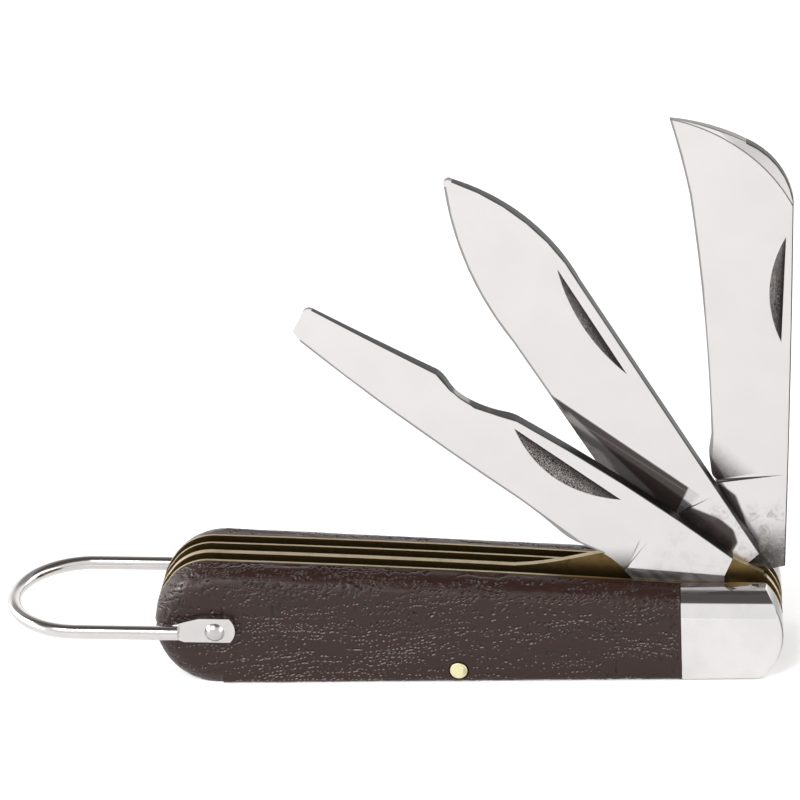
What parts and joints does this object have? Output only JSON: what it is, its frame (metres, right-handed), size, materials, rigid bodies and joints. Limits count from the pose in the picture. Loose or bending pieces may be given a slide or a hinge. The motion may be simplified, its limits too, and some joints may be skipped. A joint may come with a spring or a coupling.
{
  "type": "folding electrician's pocket knife",
  "caption": "Folding pocket knife with screwdriver, spear and hooked slitting blades, brass liners, wood-grain scales, bright bolsters and a wire bail at the butt.",
  "frame": {"origin": "middle of the flat back of the handle, where the springs lie, half way from butt to bolster end", "axes": "+X along the handle from the bail to the pivot end, +Y through the layers from the near scale to the far scale, +Z from the back up to the blade side"},
  "size_m": [0.1291, 0.0258, 0.0921],
  "materials": {
    "scale": "embossed wood grain, satin",
    "bolster": "polished nickel silver",
    "brass": "brushed",
    "spring": "ground",
    "blade": "glazed and polished",
    "pin": "polished",
    "bail": "nickel plated"
  },
  "bodies": {
    "root": {"near_scale": "scale", "far_scale": "scale", "near_bolster": "bolster", "far_bolster": "bolster", "near_liner": "brass", "near_center_liner": "brass", "far_center_liner": "brass", "far_liner": "brass", "center_pin": "brass", "near_backspring": "spring", "middle_backspring": "spring", "far_backspring": "spring", "pivot_pin": "pin", "spring_end_pin": "pin", "near_bail_rivet": "pin", "far_bail_rivet": "pin"},
    "screwdriver_blade": {"screwdriver_blade": "blade"},
    "spear_blade": {"spear_blade": "blade"},
    "slitting_blade": {"slitting_blade": "blade"},
    "bail": {"bail": "bail"}
  },
  "joints": [
    {"name": "screwdriver_hinge", "type": "hinge", "parent": "root", "child": "screwdriver_blade", "pos_m": [0.0429, 0, 0.0086], "axis": [0, 1, 0], "range_deg": [-31.2, 143.8]},
    {"name": "spear_hinge", "type": "hinge", "parent": "root", "child": "spear_blade", "pos_m": [0.0429, 0, 0.0086], "axis": [0, 1, 0], "range_deg": [-55, 120]},
    {"name": "slitting_hinge", "type": "hinge", "parent": "root", "child": "slitting_blade", "pos_m": [0.0429, 0, 0.0086], "axis": [0, 1, 0], "range_deg": [-87, 88]},
    {"name": "bail_hinge", "type": "hinge", "parent": "root", "child": "bail", "pos_m": [-0.0404, 0, 0.0106], "axis": [0, 1, 0], "range_deg": [-156, 156]}
  ]
}
